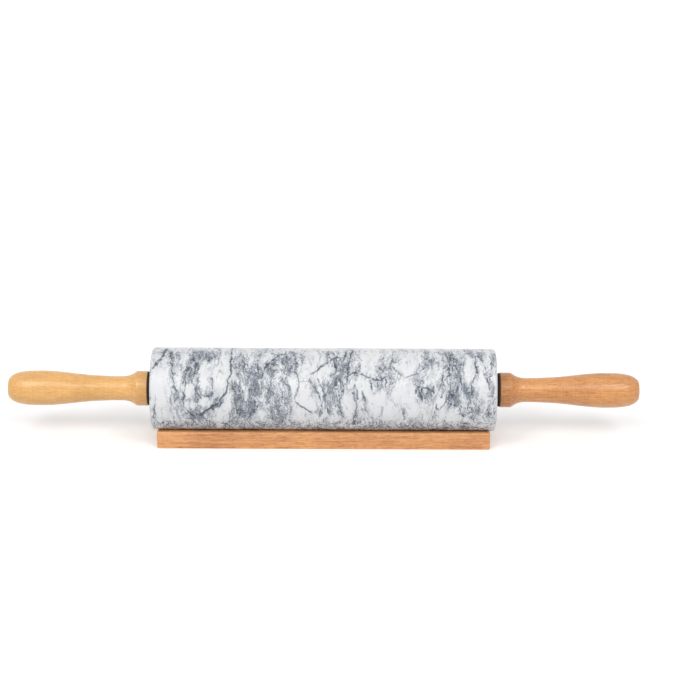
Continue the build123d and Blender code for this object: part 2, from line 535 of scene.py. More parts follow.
# %% Draw curves through points
def flowing(points, start_slope, end_slope, count):
    """A smooth curve through points, each span a cubic whose slopes follow its neighbours."""
    places = [Vector((x, radius, 0)) for x, radius in points]
    slopes = [(after - before) / 2 for before, after in zip(places, places[2:])]
    first = Vector((*start_slope, 0)).normalized() * (places[1] - places[0]).length
    last = Vector((*end_slope, 0)).normalized() * (places[-1] - places[-2]).length
    slopes = [first, *slopes, last]
    curve = []
    for here, there, leave, arrive in zip(places, places[1:], slopes, slopes[1:]):
        for step in range(count):
            s = step / count
            place = (2 * s**3 - 3 * s**2 + 1) * here + (s**3 - 2 * s**2 + s) * leave
            place += (3 * s**2 - 2 * s**3) * there + (s**3 - s**2) * arrive
            curve.append((place.x, place.y))
    return curve + [(places[-1].x, places[-1].y)]


def cove_arc(start, end, count):
    """The arc that leaves the neck level and ends on the collar's corner."""
    along, rise = end[0] - start[0], end[1] - start[1]
    radius = (along**2 + rise**2) / (2 * rise)
    reach = math.asin(along / radius)
    return arc((start[0], start[1] + radius), radius, -math.pi / 2, -math.pi / 2 + reach, count)


cove = cove_arc((0.0, NECK_RADIUS), (COVE_LENGTH, COLLAR_RADIUS), 2)
print("the cove rises to", [round(radius / MM, 1) for x, radius in cove], "mm")

# %% Draw the handle's outline
CURVE_STEPS = 8
COVE_STEPS = 12
EDGE_STEPS = 4
COLLAR_STEPS = 6
SHOULDER_START = math.radians(125)


def handle_outline():
    """Distances from the tip, with radii: out over the belly to the collar, and down the bore."""
    collar_start = HANDLE_LENGTH - COLLAR_LENGTH
    cove_start = collar_start - COVE_LENGTH
    neck_start = cove_start - NECK_LENGTH
    rise, drop = BELLY_RADIUS - TIP_FLAT_RADIUS, BELLY_RADIUS - NECK_RADIUS
    taper = neck_start - BELLY_FROM_TIP
    belly = (BELLY_FROM_TIP, BELLY_RADIUS)
    tip = [(along * BELLY_FROM_TIP, TIP_FLAT_RADIUS + out * rise) for along, out in TIP_CURVE_SHARES]
    fall = [(BELLY_FROM_TIP + along * taper, NECK_RADIUS + out * drop) for along, out in TAPER_CURVE_SHARES]
    outline = [(0, 0), (0, TIP_FLAT_RADIUS / 3), (0, TIP_FLAT_RADIUS * 2 / 3)]
    outline += flowing([(0, TIP_FLAT_RADIUS), *tip, belly], (0, 1), (1, 0), CURVE_STEPS)[:-1]
    outline += flowing([belly, *fall, (neck_start, NECK_RADIUS)], (1, 0), (1, 0), CURVE_STEPS)
    outline += cove_arc((cove_start, NECK_RADIUS), (collar_start, COLLAR_RADIUS), COVE_STEPS)[:-1]
    edge = COLLAR_EDGE_RADIUS
    shoulder = (collar_start + edge, COLLAR_RADIUS - edge)
    outline += arc(shoulder, edge, SHOULDER_START, math.pi / 2, EDGE_STEPS)
    outline += straight(outline[-1], (HANDLE_LENGTH - edge, COLLAR_RADIUS), COLLAR_STEPS)[:-1]
    outline += arc((HANDLE_LENGTH - edge, COLLAR_RADIUS - edge), edge, math.pi / 2, 0, EDGE_STEPS)
    outline += bore_outline()
    return outline


def bore_outline():
    """The drilled steps inside the collar: the nut's pocket, the insert's seat and the rod's hole."""
    steps = ((NUT_POCKET_RADIUS, 0, NUT_POCKET_DEPTH), (INSERT_RADIUS, NUT_POCKET_DEPTH, INSERT_DEPTH))
    steps += ((ROD_HOLE_RADIUS, INSERT_DEPTH, ROD_HOLE_DEPTH),)
    outline = []
    for radius, mouth, floor in steps:
        outline += [(HANDLE_LENGTH - mouth, radius), (HANDLE_LENGTH - floor, radius)]
    return outline + [(HANDLE_LENGTH - ROD_HOLE_DEPTH, 0)]


print("handle outline:", len(handle_outline()), "points")

# %% Turn the two handles
def turn_handle(name, side):
    """One handle, at its own end of the pin."""
    return turn(name, [(side * (HANDLE_TIP - x), radius) for x, radius in handle_outline()])


wood_handle_left = turn_handle("wood_handle_left", -1)
wood_handle_right = turn_handle("wood_handle_right", 1)

# %% [markdown]
# ## The cradle
#
# The cradle is a planed board with one hollow along it. Its section is drawn once, corner by
# corner, and then carried along the board. Near each end the section shrinks along a quarter
# circle, which rounds the ends in the same stroke. At the foot, where two small roundings
# meet, the corner is drawn in along the board as well. A bevel modifier on a plain block
# would stumble over the many short edges of the groove.

# %% Draw the cradle's section
GROOVE_GAP = 0.3 * MM
GROOVE_RADIUS = BARREL_RADIUS + GROOVE_GAP
TOP_EDGE_RADIUS = 1.6 * MM
FOOT_EDGE_RADIUS = 0.8 * MM
END_RADIUS = 1.5 * MM
LIP_RADIUS = 1.5 * MM
CRADLE_HALF_LENGTH = cradle_high.x
CRADLE_HALF_WIDTH = cradle_high.y
CRADLE_TOP = cradle_high.z
GROOVE_STEPS, LIP_STEPS, LEDGE_STEPS, TOP_EDGE_STEPS = 20, 5, 4, 6
WALL_STEPS, FOOT_STEPS, SOLE_STEPS = 6, 4, 12


def half_section():
    """The board's section from the middle of the groove, out over the lip, down and under."""
    lip_height = CRADLE_TOP - LIP_RADIUS
    drop = AXIS_HEIGHT - lip_height
    lip_out = math.sqrt((GROOVE_RADIUS + LIP_RADIUS) ** 2 - drop**2)
    lean = math.atan2(lip_out, drop)
    out, top, foot = CRADLE_HALF_WIDTH, TOP_EDGE_RADIUS, FOOT_EDGE_RADIUS
    section = arc((0, AXIS_HEIGHT), GROOVE_RADIUS, -math.pi / 2, lean - math.pi / 2, GROOVE_STEPS)[:-1]
    section += arc((lip_out, lip_height), LIP_RADIUS, math.pi / 2 + lean, math.pi / 2, LIP_STEPS)
    section += straight(section[-1], (out - top, CRADLE_TOP), LEDGE_STEPS)[:-1]
    section += arc((out - top, CRADLE_TOP - top), top, math.pi / 2, 0, TOP_EDGE_STEPS)
    section += straight(section[-1], (out, foot), WALL_STEPS)[:-1]
    section += arc((out - foot, foot), foot, 0, -math.pi / 2, FOOT_STEPS)
    section += straight(section[-1], (0, 0), SOLE_STEPS)
    return section


def full_section():
    """Both halves of the section, as one loop of (y, z) pairs."""
    right = half_section()
    return right + [(-y, z) for y, z in reversed(right[1:-1])]


print("cradle section:", len(full_section()), "points")

# %% Round the ends of the board
def section_normals(section):
    """The outward direction at each point of the section's loop."""
    normals = []
    for index, (y, z) in enumerate(section):
        before, after = section[index - 1], section[(index + 1) % len(section)]
        along = Vector((after[0] - before[0], after[1] - before[1])).normalized()
        normals.append(Vector((-along.y, along.x)))
    return normals


def end_shrink(distance, radius):
    """How far a surface draws in at a distance from the end face, on a quarter circle."""
    if distance >= radius:
        return 0.0
    return radius - math.sqrt(radius**2 - (radius - distance) ** 2)


def near_end(point, normal, distance):
    """Where a point of the section comes to lie, at a distance from the board's end face."""
    y, z = point
    if z > FOOT_EDGE_RADIUS + SAME_PLACE:
        shrink = end_shrink(distance, END_RADIUS)
        return y - normal.x * shrink, z - normal.y * shrink
    inset = max(0.0, CRADLE_HALF_WIDTH - abs(y))
    if inset > FOOT_EDGE_RADIUS + SAME_PLACE:
        return y, end_shrink(distance, FOOT_EDGE_RADIUS)
    inset = min(inset, distance)
    reach = CRADLE_HALF_WIDTH - inset - end_shrink(distance - inset, END_RADIUS - inset)
    return math.copysign(reach, y), end_shrink(inset, FOOT_EDGE_RADIUS)


print("the end face draws in by", round(end_shrink(0.0, END_RADIUS) / MM, 2), "mm")

# %% Carry the section along the board
END_STEPS = 6
BOARD_STEPS = 40


def carve_board(name):
    """The grooved board, with rounded ends."""
    section = full_section()
    normals = section_normals(section)
    end_steps = [END_RADIUS * (1 - math.cos(math.pi / 2 * step / END_STEPS)) for step in range(END_STEPS + 1)]
    middle = np.linspace(END_RADIUS, 2 * CRADLE_HALF_LENGTH - END_RADIUS, BOARD_STEPS + 1)[1:-1]
    places = end_steps + list(middle) + [2 * CRADLE_HALF_LENGTH - d for d in reversed(end_steps)]
    form = bmesh.new()
    rings = []
    for place in places:
        from_end = min(place, 2 * CRADLE_HALF_LENGTH - place)
        corners = [near_end(point, normal, from_end) for point, normal in zip(section, normals)]
        rings.append([form.verts.new((place - CRADLE_HALF_LENGTH, *corner)) for corner in corners])
    count = len(section)
    for near, far in zip(rings, rings[1:]):
        for step in range(count):
            after = (step + 1) % count
            form.faces.new((near[step], near[after], far[after], far[step]))
    bmesh.ops.remove_doubles(form, verts=form.verts, dist=SAME_PLACE)
    mouths = [edge for edge in form.edges if edge.is_boundary]
    caps = bmesh.ops.holes_fill(form, edges=mouths)["faces"]
    bmesh.ops.triangulate(form, faces=caps)
    return finish_form(name, form)


cradle_board = carve_board("cradle_board")

# %% [markdown]
# ## Effects that several finishes share
#
# Some effects come back in more than one finish, or many times in one. Their nodes could be
# copied into each finish, but then every change would have to be made many times over. So
# each is a node group that is built once and placed with its own values. Every handled
# surface carries faint smears in its gloss, its edges wear, turned and planed pieces keep
# fine tool lines, and plain metal and nylon are a little mottled. The effects that only
# stone or only wood has stand with the stone and with the wood.

# %% Group: smears and edge wear
def make_smears():
    """Faint uneven polish: a value about zero that is added to a surface's roughness."""
    group, bench, given, result = new_group("smears", {"Size": 12.0, "Amount": 0.05}, ("Change",))
    cloud = bench.cloud(given["Vector"], given["Size"], detail=4.0, roughness=0.6)
    bench.feed(result["Change"], bench.math("MULTIPLY", bench.centred(cloud), given["Amount"]))
    return group


def make_edge_wear():
    """Where an edge is worn: the wear that was marked in the mesh, broken up by a cloud."""
    group, bench, given, result = new_group("edge_wear", {"Size": 3.0}, ("Mask",))
    mark = bench.node("ShaderNodeAttribute", attribute_name="wear").outputs["Fac"]
    cloud = bench.cloud(given["Vector"], given["Size"], detail=4, roughness=0.6)
    bench.feed(result["Mask"], bench.math("MULTIPLY", mark, bench.spread(cloud, 0.38, 0.62)))
    return group


smears = make_smears()
edge_wear = make_edge_wear()
print("smears:", len(smears.nodes), "nodes, edge wear:", len(edge_wear.nodes), "nodes")

# %% Group: tool lines and mottle
def make_tool_lines():
    """Fine lines across the piece, as a lathe or a planer leaves them."""
    group, bench, given, result = new_group("tool_lines", {"Spacing": 0.4}, ("Height",))
    along = bench.joined(bench.parts(given["Vector"])["X"], 0.0, 0.0)
    height = bench.cloud(along, given["Spacing"], detail=3, roughness=0.7)
    bench.feed(result["Height"], height)
    return group


def make_mottle():
    """Soft blotches, where a plain colour is a little darker."""
    group, bench, given, result = new_group("mottle", {"Size": 1.2}, ("Mask",))
    cloud = bench.cloud(given["Vector"], given["Size"], detail=4, roughness=0.6)
    bench.feed(result["Mask"], bench.spread(cloud, 0.3, 0.7))
    return group


tool_lines = make_tool_lines()
mottle = make_mottle()
print("tool lines:", len(tool_lines.nodes), "nodes, mottle:", len(mottle.nodes), "nodes")

# %% [markdown]
# ## The marble
#
# This marble is white, with blue-grey patches that run round the barrel and lean a little,
# fine feathered streaks inside them, and thin dark cracks that healed long ago. The patches,
# the clean white pieces between them and the main cracks are listed one by one. Their places
# are given as on a label round the barrel: millimetres along it from its middle, and round
# it from the middle of its front. A long grey band low on the front, with more curls there,
# is painted shade, and a clean band along the top is painted light. All the finer structure
# is solid noise, as if the barrel were cut from a block, because a picture wrapped round it
# would smear on its ends. Tiny pits roughen the polish, and a weak coat over them gives the
# stone its soft shine.

# %% Where the patches lie
# Each patch: middle, half size, how far it leans to the right as it rises, how much grey
STONE_PATCHES_AND_LOW_SHADE = (
    ((-110.0, 36.0), (3.0, 15.0), -0.06, 0.42),
    ((-104.5, 6.0), (3.0, 14.0), -0.35, 0.60),
    ((-105.3, 41.0), (2.3, 8.0), 0.0, 0.50),
    ((-100.0, 12.0), (2.3, 17.0), 0.0, 0.60),
    ((-91.5, 38.0), (3.8, 11.0), 0.0, 0.65),
    ((-94.0, 22.0), (3.0, 9.0), 0.4, 0.70),
    ((-84.0, 37.0), (3.5, 8.0), 0.1, 0.65),
    ((-89.0, 6.0), (2.3, 12.0), 0.0, 0.50),
    ((-93.0, -10.0), (9.0, 5.0), 0.0, 0.60),
    ((-78.0, -2.0), (3.0, 6.0), 1.2, 0.60),
    ((-60.0, 32.0), (5.0, 16.0), 0.0, 0.80),
    ((-51.0, 16.0), (6.0, 15.0), 0.0, 1.25),
    ((-55.5, -3.0), (8.5, 10.0), 0.35, 1.25),
    ((-61.0, 6.0), (4.5, 12.0), -0.2, 1.20),
    ((-64.0, -12.0), (5.0, 8.0), 0.0, 0.80),
    ((-47.0, 41.0), (3.0, 9.0), 0.0, 0.45),
    ((-44.5, 15.0), (2.2, 12.0), 0.1, 0.50),
    ((-37.5, 17.0), (5.0, 15.0), 0.0, 0.50),
    ((-22.5, 33.0), (8.0, 12.0), 0.0, 0.55),
    ((-26.0, 9.0), (4.5, 14.0), -0.1, 0.62),
    ((-36.0, -6.0), (9.0, 11.0), 0.0, 0.45),
    ((1.0, 39.0), (2.5, 10.0), -0.15, 0.60),
    ((9.5, 34.0), (6.0, 14.0), 0.0, 0.24),
    ((9.0, 16.0), (5.0, 10.0), 0.0, 0.20),
    ((4.5, 2.0), (3.0, 15.0), -0.15, 0.35),
    ((17.0, 32.0), (3.0, 16.0), 0.1, 0.26),
    ((9.5, -2.0), (5.0, 10.0), 0.0, 0.30),
    ((43.0, 22.0), (2.8, 8.0), 0.0, 0.20),
    ((74.0, 8.0), (5.5, 6.5), -0.4, 0.68),
    ((71.0, 17.0), (2.0, 5.0), 0.0, 0.60),
    ((90.5, 34.0), (3.0, 14.0), 0.1, 0.42),
    ((96.5, 23.0), (2.5, 9.0), -0.1, 0.45),
    ((94.0, 5.0), (5.0, 8.0), -0.2, 0.55),
    ((105.5, 46.0), (3.0, 9.0), -0.3, 0.60),
    ((109.5, 28.0), (2.8, 13.0), 0.0, 0.55),
    ((104.0, 9.0), (5.0, 7.0), -0.2, 0.66),
    ((109.0, -6.0), (5.5, 11.0), -0.25, 0.65),
    ((114.0, 38.0), (3.0, 12.0), -0.2, 0.60),
    ((119.0, 13.0), (3.0, 14.0), -0.15, 0.60),
    ((122.5, 34.0), (2.8, 12.0), 0.0, 0.55),
    ((118.0, -8.0), (5.0, 10.0), 0.0, 0.60),
    ((73.5, 40.0), (3.0, 11.0), -0.1, 0.20),
    # Painted shade: a long grey band low on the front, where the barrel faces down to the cradle
    ((-80.0, -24.0), (40.0, 8.0), 0.0, 0.42),
    ((0.0, -25.0), (45.0, 7.0), 0.0, 0.38),
    ((80.0, -24.0), (42.0, 8.0), 0.0, 0.42),
)
# The clean white pieces, given in the same way, and last a band of painted light along the top
STONE_CLEAN_AND_TOP_LIGHT = (
    ((-117.0, 12.0), (7.0, 16.0), 0.0, 1.0),
    ((-115.0, -8.0), (8.0, 8.0), 0.0, 0.8),
    ((-95.5, 10.0), (3.5, 4.5), 0.0, 0.9),
    ((-93.0, 0.0), (3.0, 3.0), 0.0, 0.7),
    ((-84.5, 23.0), (4.5, 10.0), 0.0, 1.0),
    ((-75.5, 21.0), (6.0, 14.0), 0.1, 1.0),
    ((-85.0, 2.0), (4.0, 3.5), 0.0, 0.9),
    ((-72.0, -6.0), (5.0, 6.0), 0.5, 0.8),
    ((-59.0, 12.0), (1.0, 3.0), 0.2, 0.7),
    ((-45.5, -8.0), (3.5, 3.0), 0.5, 0.9),
    ((-42.0, 38.0), (4.0, 6.0), 0.3, 0.8),
    ((-7.0, 37.0), (6.5, 10.0), 0.1, 1.0),
    ((-20.5, 14.0), (2.0, 5.0), 0.1, 0.8),
    ((-12.0, 6.0), (6.0, 9.0), -0.2, 1.0),
    ((1.0, 23.0), (5.5, 6.0), 0.0, 0.9),
    ((-10.0, -12.0), (9.0, 5.0), 0.0, 0.7),
    ((18.0, -1.0), (5.0, 9.0), 0.0, 1.0),
    ((33.0, 36.0), (7.5, 9.0), 0.0, 1.0),
    ((28.0, 13.0), (7.0, 7.0), -0.2, 0.9),
    ((41.0, 0.0), (10.0, 9.0), 0.0, 0.9),
    ((60.0, 34.0), (9.0, 12.0), 0.0, 1.0),
    ((58.0, 11.0), (8.0, 8.0), 0.0, 0.9),
    ((66.0, -4.0), (4.0, 5.0), 0.0, 0.8),
    ((84.5, 2.0), (3.0, 5.0), 0.1, 1.0),
    ((92.0, -10.0), (9.0, 5.0), 0.0, 0.9),
    ((79.5, 24.0), (5.0, 9.0), 0.0, 0.8),
    ((104.5, 28.0), (3.3, 10.0), 0.0, 1.0),
    ((114.0, 12.0), (3.5, 6.0), 0.0, 0.9),
    # Painted light: the top of the barrel kept whiter along its whole length
    ((0.0, 55.0), (400.0, 9.0), 0.0, 0.5),
)
print("grey patches:", len(STONE_PATCHES_AND_LOW_SHADE), "clean pieces:", len(STONE_CLEAN_AND_TOP_LIGHT))

# %% Where the cracks lie
# Each crack: its width, its strength and the places that it runs through
STONE_CRACKS = (
    (1.5, 0.90, ((-114.0, 50.0), (-116.0, 40.0), (-119.5, 31.0), (-122.8, 26.0))),
    (0.7, 0.50, ((-112.0, 48.0), (-110.5, 36.0), (-108.5, 20.0), (-105.0, 8.0), (-102.0, -2.0))),
    (0.7, 0.55, ((-98.5, 28.0), (-98.5, 17.0), (-100.0, 4.0), (-100.5, -5.0))),
    (0.8, 0.65, ((-120.5, 6.0), (-121.0, -6.0), (-123.0, -13.0))),
    (0.8, 0.60, ((-80.0, 19.0), (-79.5, 8.0), (-82.0, 6.0), (-85.0, 7.0))),
    (1.1, 0.90, ((-67.0, 52.0), (-66.5, 36.0), (-66.5, 24.0), (-68.5, 13.0))),
    (1.3, 0.90, ((-68.5, 13.0), (-71.0, 7.0), (-76.0, 1.0), (-82.0, -4.0), (-89.0, -9.0))),
    (0.8, 0.60, ((-65.5, 20.0), (-64.5, 10.0), (-62.5, 0.0), (-62.0, -10.0))),
    (0.7, 0.50, ((-75.5, 50.0), (-73.5, 30.0))),
    (0.8, 0.60, ((-94.5, 44.0), (-94.0, 36.0), (-91.5, 30.0), (-92.5, 20.0))),
    (0.8, 0.60, ((-90.0, 40.0), (-88.0, 33.0), (-85.0, 34.0), (-82.0, 33.0), (-80.5, 37.0))),
    (0.7, 0.50, ((-95.0, 16.0), (-91.0, 12.0), (-91.0, 6.0), (-93.0, 2.0))),
    (0.7, 0.50, ((-100.0, -2.0), (-95.0, -9.0), (-90.0, -13.0))),
    (0.7, 0.55, ((-57.0, 30.0), (-58.0, 14.0), (-61.0, 8.0))),
    (0.8, 0.70, ((-50.5, 28.0), (-48.0, 29.0), (-46.5, 26.0), (-48.0, 23.5))),
    (0.8, 0.60, ((-49.0, 2.0), (-46.5, 1.0), (-47.0, -3.0), (-50.0, -4.0))),
    (1.0, 0.75, ((-28.0, 42.0), (-33.0, 39.0), (-38.0, 32.0), (-42.5, 27.0), (-44.5, 19.0))),
    (0.7, 0.50, ((-38.5, 46.0), (-35.5, 41.0), (-33.0, 39.0))),
    (0.9, 0.70, ((-24.0, 24.5), (-20.0, 24.0), (-17.0, 17.0), (-19.5, 9.0), (-20.0, 2.0))),
    (1.1, 0.80, ((-20.0, 2.0), (-14.0, -2.5), (-8.5, -6.5))),
    (0.7, 0.50, ((-16.5, 17.0), (-9.5, 17.0))),
    (0.9, 0.70, ((-9.5, 18.0), (-5.5, 12.0), (-1.5, 4.0), (0.0, -4.0))),
    (0.8, 0.60, ((-5.0, 18.5), (-1.0, 13.0), (2.5, 5.0), (3.5, -6.0))),
    (1.3, 0.85, ((-9.0, 22.5), (-4.0, 25.5), (0.0, 30.0), (5.0, 34.0), (10.0, 38.0))),
    (0.9, 0.75, ((3.5, 46.0), (4.5, 37.0), (7.5, 33.0), (8.5, 25.0), (8.5, 12.0))),
    (0.9, 0.70, ((6.5, 45.0), (8.0, 38.0), (9.0, 33.0))),
    (0.9, 0.70, ((17.0, 46.0), (14.5, 36.0), (12.5, 28.0), (11.5, 17.0))),
    (0.9, 0.65, ((21.0, 48.0), (19.0, 37.0), (17.5, 28.0), (17.5, 17.0))),
    (0.9, 0.65, ((15.0, 12.0), (12.5, 4.0), (11.5, -3.0), (14.0, -10.0))),
    (0.9, 0.60, ((21.0, 9.0), (24.5, -2.0), (21.5, -11.0), (22.5, -18.0))),
    (0.7, 0.55, ((24.0, 41.0), (28.0, 34.0))),
    (1.0, 0.75, ((18.5, 21.5), (22.0, 24.0), (27.0, 23.0), (33.0, 19.5), (41.0, 18.5), (46.0, 20.0))),
    (0.8, 0.65, ((34.0, 19.0), (35.0, 12.0), (36.5, 8.0))),
    (0.9, 0.60, ((41.5, 18.0), (42.0, 12.0))),
    (0.9, 0.65, ((44.8, 19.0), (44.5, 12.5))),
    (1.4, 0.65, ((22.5, 14.0), (25.0, 5.0))),
    (1.5, 0.70, ((28.5, 10.0), (29.5, 3.5))),
    (0.8, 0.55, ((30.5, -2.0), (32.0, -8.0), (34.5, -12.0))),
    (0.9, 0.65, ((50.0, 29.5), (53.0, 25.0), (58.0, 20.0), (63.0, 21.5), (67.5, 23.5))),
    (0.8, 0.40, ((50.5, 46.0), (50.0, 36.0))),
    (1.6, 0.55, ((42.5, -2.0), (42.0, -7.0))),
    (0.7, 0.50, ((49.5, 4.0), (52.0, -1.0))),
    (1.7, 0.60, ((57.5, -3.0), (58.5, -12.0))),
    (0.9, 0.65, ((66.5, 9.0), (67.5, 13.5), (74.0, 13.0), (79.5, 9.5))),
    (1.4, 0.70, ((71.0, 12.0), (70.5, 5.0))),
    (0.9, 0.65, ((86.0, 22.0), (83.5, 13.0), (80.5, 5.0), (81.0, -1.0), (83.5, -4.5))),
    (0.9, 0.65, ((83.5, -4.5), (87.0, 1.0), (89.5, 11.0))),
    (0.9, 0.65, ((92.0, 42.0), (90.5, 33.0), (90.0, 24.0), (87.0, 19.0))),
    (1.0, 0.75, ((93.5, 31.0), (97.0, 26.0), (98.0, 18.0), (99.5, 12.0))),
    (0.8, 0.60, ((91.0, 38.0), (95.5, 36.0), (100.5, 33.0), (100.5, 20.0), (101.0, 12.0))),
    (0.9, 0.65, ((110.0, 40.0), (109.5, 25.0), (106.5, 15.0), (106.0, 10.0))),
    (0.9, 0.60, ((112.0, 44.0), (115.0, 34.0), (117.5, 24.0), (118.5, 12.0))),
    (1.6, 0.75, ((96.0, 13.0), (96.0, 11.0))),
    (1.5, 0.70, ((90.5, 11.0), (92.0, 8.0))),
    (0.8, 0.55, ((93.0, 2.0), (98.5, -4.0), (100.5, -9.0))),
    (1.3, 0.60, ((84.7, 7.0), (84.5, 6.0))),
    (1.3, 0.55, ((85.8, 37.0), (85.5, 34.5))),
    (1.3, 0.55, ((78.0, 36.0), (77.5, 34.0))),
)
print("cracks:", len(STONE_CRACKS))

# %% Group: stone patch
def make_patch_group():
    """The stronger of the patches so far and one more, which is one inside and fades at its edge.

    Across and Along turn a way from the patch's middle into shares of its half sizes.
    """
    inputs = {"So Far": 0.0, "Middle": (0, 0, 0), "Across": (1, 0, 0), "Along": (0, 1, 0), "Strength": 1.0}
    group, bench, given, result = new_group("stone_patch", inputs, ("Mask",))
    away = bench.vector("SUBTRACT", given["Vector"], given["Middle"])
    across = bench.math("POWER", bench.math("ABSOLUTE", bench.dot(away, given["Across"])), 2.0)
    along = bench.math("POWER", bench.math("ABSOLUTE", bench.dot(away, given["Along"])), 2.0)
    mask = bench.spread(bench.math("SQRT", bench.math("ADD", across, along)), 0.35, 1.5, 1.0, 0.0)
    mask = bench.math("MULTIPLY", mask, given["Strength"])
    bench.feed(result["Mask"], bench.math("MAXIMUM", given["So Far"], mask))
    return group


stone_patch = make_patch_group()
print("stone patch:", len(stone_patch.nodes), "nodes")

# %% Group: stone crack
FAR_AWAY = 100.0


def make_crack_group():
    """The nearer of a crack so far and one more straight stretch of it, in millimetres.

    Reach leads from the stretch's start to its end, and Scale is Reach over its length squared.
    """
    inputs = {"So Far": FAR_AWAY, "Start": (0, 0, 0), "Reach": (1, 0, 0), "Scale": (1, 0, 0)}
    group, bench, given, result = new_group("stone_crack", inputs, ("Distance",))
    away = bench.vector("SUBTRACT", given["Vector"], given["Start"])
    share = bench.math("MINIMUM", bench.math("MAXIMUM", bench.dot(away, given["Scale"]), 0.0), 1.0)
    gap = bench.length(bench.vector("SUBTRACT", away, bench.scaled(given["Reach"], share)))
    bench.feed(result["Distance"], bench.math("MINIMUM", given["So Far"], gap))
    return group


stone_crack = make_crack_group()
print("stone crack:", len(stone_crack.nodes), "nodes")

# %% Group: feathers and curls
def make_feathers():
    """Smoky streaks that fill more of the stone as Grey rises. Rim is the line where they begin."""
    group, bench, given, result = new_group("feathers", {"Size": 3.0, "Grey": 0.5}, ("Body", "Rim"))
    cloud = bench.cloud(given["Vector"], given["Size"], detail=3, roughness=0.6, distortion=0.3)
    lift = bench.math("MULTIPLY", bench.math("SUBTRACT", given["Grey"], 0.62), 0.25)
    depth = bench.math("ADD", bench.centred(cloud), lift)
    bench.feed(result["Body"], bench.spread(depth, -0.03, 0.07))
    bench.feed(result["Rim"], bench.spread(bench.math("ABSOLUTE", depth), 0.0, 0.03, 1.0, 0.0))
    return group


def make_curls():
    """Thin lines that wander and close on themselves, where a slow cloud passes its middle."""
    group, bench, given, result = new_group("curls", {"Size": 3.0, "Width": 0.04}, ("Line",))
    cloud = bench.cloud(given["Vector"], given["Size"], detail=1.5, roughness=0.5)
    share = bench.math("DIVIDE", bench.math("ABSOLUTE", bench.centred(cloud)), given["Width"])
    bench.feed(result["Line"], bench.spread(share, 0.2, 1.0, 1.0, 0.0))
    return group


feathers = make_feathers()
curls = make_curls()
print("feathers:", len(feathers.nodes), "nodes, curls:", len(curls.nodes), "nodes")

# %% Lay the label round the barrel
# How wide the slow, the quick and the fine bends are
SLOW_SIZE, QUICK_SIZE, FINE_SIZE = 22, 6, 2.6
# How far they push the stone (all three), the patches (slow, quick) and the cracks (quick, fine)
STONE_PUSHES = (14.0, 3.0, 1.5)
PATCH_PUSHES = (4.0, 6.0)
CRACK_PUSHES = (4.0, 1.6)
STREAK_LEAN = 0.2
STREAK_STRETCH = (1, 0.3, 0.3)


def on_label(bench, own):
    """Places on the barrel as on a label: along it, round it from its front, and zero."""
    parts = bench.parts(own)
    front = bench.math("MULTIPLY", parts["Y"], -1.0)
    turned = bench.math("MULTIPLY", bench.math("ARCTAN2", parts["Z"], front), BARREL_RADIUS / MM)
    return bench.joined(parts["X"], turned, 0.0)


def marble_places(bench):
    """The barrel's own places, and the bent and unrolled ones in which its pattern is drawn."""
    own = bench.vector("SUBTRACT", bench.millimetres(), (0, 0, AXIS_HEIGHT / MM))
    slow = bench.bend(own, SLOW_SIZE, detail=2)
    quick = bench.bend(own, QUICK_SIZE, detail=3)
    fine = bench.bend(own, FINE_SIZE, detail=2)
    label = on_label(bench, own)
    bent = bench.pushed(own, *zip((slow, quick, fine), STONE_PUSHES))
    inputs = {"Vector": bent, "Rotation": (0, STREAK_LEAN, 0), "Scale": STREAK_STRETCH}
    return {
        "own": own,
        "label": label,
        "bent": bent,
        "streaked": bench.node("ShaderNodeMapping", inputs).outputs[0],
        "frayed": bench.pushed(label, *zip((slow, quick), PATCH_PUSHES)),
        "shaken": bench.pushed(label, *zip((quick, fine), CRACK_PUSHES)),
    }


print("the label is", round(2 * math.pi * BARREL_RADIUS / MM, 1), "mm round")

# %% Lay the patches
PATCH_SHARE = 0.55
BASE_GREY = 0.19
DRIFT_SIZE = 15
DRIFT_IN_FRONT, DRIFT_BEHIND = 0.30, 0.75
SWELL_SIZE = 6
SWELL_SHARE = 0.8


def patch_masks(bench, place, patches):
    """The strongest of several patches at each place."""
    total = 0.0
    for middle, (half_width, half_height), lean, strength in patches:
        inputs = {"So_Far": total, "Middle": (*middle, 0), "Strength": strength}
        inputs["Across"] = (1 / half_width, -lean / half_width, 0)
        inputs["Along"] = (0, 1 / half_height, 0)
        total = bench.place(stone_patch, Vector=place, **inputs)["Mask"]
    return total


def marble_grey(bench, places):
    """How grey the stone is: patches, a band of painted shade low on the front and a slow drift, stronger
    behind, but not where it is clean or kept white by painted light along the top.
    """
    # Among the patches is a band of painted shade low on the front, and among the clean pieces a band of
    # painted light along the top
    patches = patch_masks(bench, places["frayed"], STONE_PATCHES_AND_LOW_SHADE)
    clean = patch_masks(bench, places["frayed"], STONE_CLEAN_AND_TOP_LIGHT)
    drift = bench.cloud(places["streaked"], DRIFT_SIZE, detail=3, roughness=0.55)
    back = bench.parts(places["own"])["Y"]
    behind = bench.spread(back, 5, 20, DRIFT_IN_FRONT, DRIFT_BEHIND)
    drifted = bench.math("MULTIPLY", bench.spread(drift, 0.40, 0.66), behind)
    grey = bench.math("ADD", bench.math("MULTIPLY", patches, PATCH_SHARE), drifted)
    grey = bench.math("ADD", grey, BASE_GREY)
    grey = bench.math("MULTIPLY", grey, bench.math("SUBTRACT", 1.0, clean))
    swell = bench.cloud(places["streaked"], SWELL_SIZE, detail=2, roughness=0.5)
    return bench.plus(grey, (bench.centred(swell), SWELL_SHARE))


print("widest patch:", 2 * max(half[0] for middle, half, lean, strength in STONE_PATCHES_AND_LOW_SHADE), "mm")

# %% Draw the streaks and the curls
GREY_TONE = 0.12
# Each set of streaks: the places they follow, their size, how dark their body and their rim are
STREAK_SETS = (("streaked", 2.6, 0.18, 0.20), ("streaked", 1.3, 0.20, 0.14), ("bent", 0.9, 0.12, 0.0))
# Each set of curls: their size, the width of their lines and how dark they are
CURL_SETS = ((5.0, 0.022, 0.34), (3.0, 0.03, 0.32), (1.7, 0.045, 0.20))


